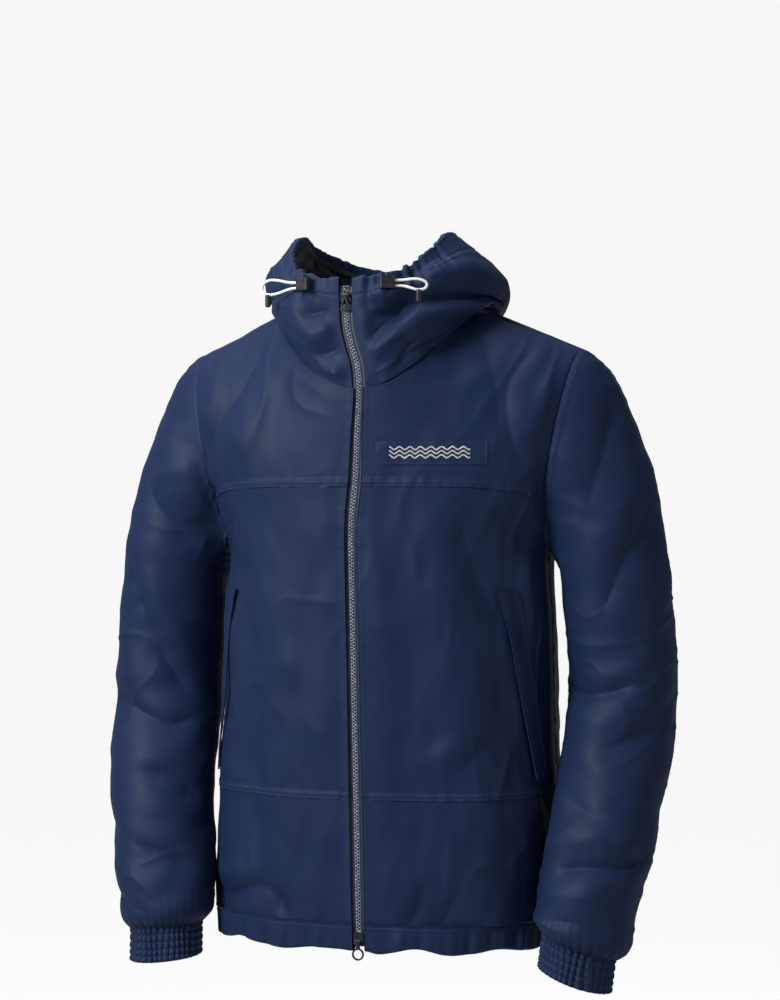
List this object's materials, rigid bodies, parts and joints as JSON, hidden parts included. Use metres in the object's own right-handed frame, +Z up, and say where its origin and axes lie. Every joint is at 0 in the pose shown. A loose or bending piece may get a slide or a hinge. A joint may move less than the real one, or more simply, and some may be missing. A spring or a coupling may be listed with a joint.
{
  "type": "foul weather jacket",
  "caption": "Navy hooded waterproof sailing jacket, zipped up with the hood down, full-length two-way zip, drawcord collar, slanted hand pockets and gathered cuffs.",
  "frame": {"origin": "centre of the neck opening, level with the tops of the shoulders, where the jacket rests on its wearer", "axes": "+Z up, the zip faces -Y, +X is the wearer's left"},
  "size_m": [0.6232, 0.2836, 0.7714],
  "materials": {
    "shell_cloth": "navy lightweight waterproof woven cloth, soft sheen",
    "lining": "black lightweight lining",
    "zip_tape": "coated charcoal zip tape",
    "zip_teeth": "moulded charcoal teeth",
    "slider_metal": "dark lacquered zinc",
    "cord": "white braided elastic cord",
    "cord_hardware": "dark moulded plastic",
    "spring_steel": "spring wire",
    "elastic": "woven elastic",
    "label": "plain woven label, blank"
  },
  "bodies": {
    "torso": {"back_panel": "shell_cloth", "back_yoke": "shell_cloth", "chest_patch": "shell_cloth", "collar_left": "shell_cloth", "collar_right": "shell_cloth", "cord_end_left": "cord_hardware", "cord_end_right": "cord_hardware", "cord_lock_left": "cord_hardware", "cord_lock_right": "cord_hardware", "cord_loop_left": "cord", "cord_loop_right": "cord", "cord_spring_left": "spring_steel", "cord_spring_right": "spring_steel", "front_panel_left": "shell_cloth", "front_panel_right": "shell_cloth", "front_yoke_left": "shell_cloth", "front_yoke_right": "shell_cloth", "hanger_loop": "shell_cloth", "hem_casing": "shell_cloth", "hem_elastic": "elastic", "hood_casing": "shell_cloth", "hood_centre": "shell_cloth", "hood_drawcord": "cord", "hood_lining": "lining", "hood_side_left": "shell_cloth", "hood_side_right": "shell_cloth", "lower_back": "shell_cloth", "lower_front_left": "shell_cloth", "lower_front_right": "shell_cloth", "neck_label": "label", "pocket_bag_left": "lining", "pocket_bag_right": "lining", "storm_flap": "shell_cloth", "zip_bottom_pins": "zip_teeth", "zip_tape_left": "zip_tape", "zip_tape_right": "zip_tape", "zip_teeth_left": "zip_teeth", "zip_teeth_right": "zip_teeth", "zip_top_stops": "zip_teeth"},
    "top_slider": {"top_slider": "slider_metal"},
    "top_puller": {"top_puller": "slider_metal"},
    "bottom_slider": {"bottom_slider": "slider_metal"},
    "bottom_puller": {"bottom_puller": "slider_metal"},
    "cord_button_left": {"cord_button_left": "cord_hardware"},
    "pocket_welt_left": {"pocket_welt_left": "shell_cloth"},
    "upper_sleeve_left": {"sleeve_front_left": "shell_cloth", "sleeve_back_left": "shell_cloth"},
    "forearm_left": {"forearm_front_left": "shell_cloth", "forearm_back_left": "shell_cloth", "cuff_left": "shell_cloth", "cuff_elastic_left": "elastic"},
    "cord_button_right": {"cord_button_right": "cord_hardware"},
    "pocket_welt_right": {"pocket_welt_right": "shell_cloth"},
    "upper_sleeve_right": {"sleeve_front_right": "shell_cloth", "sleeve_back_right": "shell_cloth"},
    "forearm_right": {"forearm_front_right": "shell_cloth", "forearm_back_right": "shell_cloth", "cuff_right": "shell_cloth", "cuff_elastic_right": "elastic"}
  },
  "joints": [
    {"name": "top_slider_travel", "type": "slide", "parent": "torso", "child": "top_slider", "axis": [0.0287, -0.025, -0.9993], "range_m": [0, 0.45]},
    {"name": "top_puller_swing", "type": "hinge", "parent": "top_slider", "child": "top_puller", "pos_m": [-0.01421, -0.12031, 0.00177], "axis": [-0.9996, -0.0007, -0.0286], "range_deg": [0, 150]},
    {"name": "bottom_slider_travel", "type": "slide", "parent": "torso", "child": "bottom_slider", "axis": [-0.0287, 0.025, 0.9993], "range_m": [0, 0.165]},
    {"name": "bottom_puller_swing", "type": "hinge", "parent": "bottom_slider", "child": "bottom_puller", "pos_m": [0.00483, -0.1369, -0.66215], "axis": [-0.9996, -0.0007, -0.0286], "range_deg": [0, 150]},
    {"name": "cord_button_press_left", "type": "slide", "parent": "torso", "child": "cord_button_left", "axis": [0, 0, -1], "range_m": [0, 0.0025], "stiffness_N_per_m": 600, "springref_m": -0.002, "deforming": ["cord_spring_left"]},
    {"name": "pocket_welt_lift_left", "type": "hinge", "parent": "torso", "child": "pocket_welt_left", "pos_m": [0.17044, -0.05392, -0.40195], "axis": [-0.1265, -0.1657, 0.978], "range_deg": [0, 30]},
    {"name": "shoulder_raise_left", "type": "hinge", "parent": "torso", "child": "upper_sleeve_left", "pos_m": [0.2145, 0.008, -0.05086], "axis": [0, -1, 0], "range_deg": [0, 30]},
    {"name": "elbow_bend_left", "type": "hinge", "parent": "upper_sleeve_left", "child": "forearm_left", "pos_m": [0.254, -0.06152, -0.415], "axis": [-1, 0, 0], "range_deg": [0, 50]},
    {"name": "cord_button_press_right", "type": "slide", "parent": "torso", "child": "cord_button_right", "axis": [0, 0, -1], "range_m": [0, 0.0025], "stiffness_N_per_m": 600, "springref_m": -0.002, "deforming": ["cord_spring_right"]},
    {"name": "pocket_welt_lift_right", "type": "hinge", "parent": "torso", "child": "pocket_welt_right", "pos_m": [-0.17125, -0.0536, -0.40197], "axis": [-0.1147, 0.166, -0.9794], "range_deg": [0, 30]},
    {"name": "shoulder_raise_right", "type": "hinge", "parent": "torso", "child": "upper_sleeve_right", "pos_m": [-0.2145, 0.008, -0.05086], "axis": [0, 1, 0], "range_deg": [0, 30]},
    {"name": "elbow_bend_right", "type": "hinge", "parent": "upper_sleeve_right", "child": "forearm_right", "pos_m": [-0.254, -0.06152, -0.415], "axis": [-1, 0, 0], "range_deg": [0, 50]}
  ]
}
